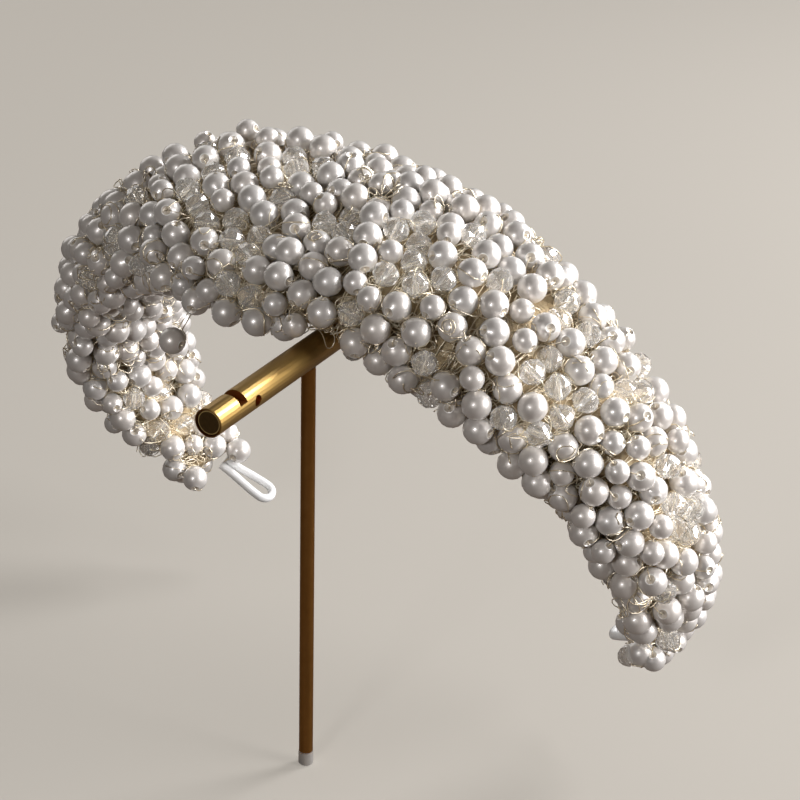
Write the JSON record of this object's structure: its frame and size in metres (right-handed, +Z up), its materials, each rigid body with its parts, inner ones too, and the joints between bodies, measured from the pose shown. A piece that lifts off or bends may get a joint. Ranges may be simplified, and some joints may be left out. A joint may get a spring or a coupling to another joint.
{
  "type": "pearl headband on display stand",
  "caption": "Padded arched headband covered with wired pearls and clear beads, with a stiff pin loop at each end, hung on a plain brass T-shaped rod stand.",
  "frame": {"origin": "middle of the foot of the stand's rod, where the stand is held", "axes": "+Z up along the rod; the tube lies along Y with its front end towards -Y; the headband's width runs along X"},
  "size_m": [0.1676, 0.1122, 0.1247],
  "materials": {
    "pearl": "ivory imitation pearl with a soft nacre lustre",
    "champagne_wire": "pale champagne-gold craft wire, bound and tangled",
    "crystal": "clear faceted beads",
    "satin_cord": "white satin cord over wire",
    "brass": "satin brass",
    "dark_plug": "dark brown, matt",
    "silver": "bright silver-coloured metal"
  },
  "bodies": {
    "root": {"band_core": "champagne_wire", "pearl_field_left": "pearl", "pearl_field_right": "pearl", "end_loop_left": "satin_cord", "end_loop_right": "satin_cord", "stand_tube": "brass", "tube_plug_front": "dark_plug", "tube_plug_back": "dark_plug", "stand_rod": "brass", "rod_tip": "silver"}
  },
  "joints": []
}
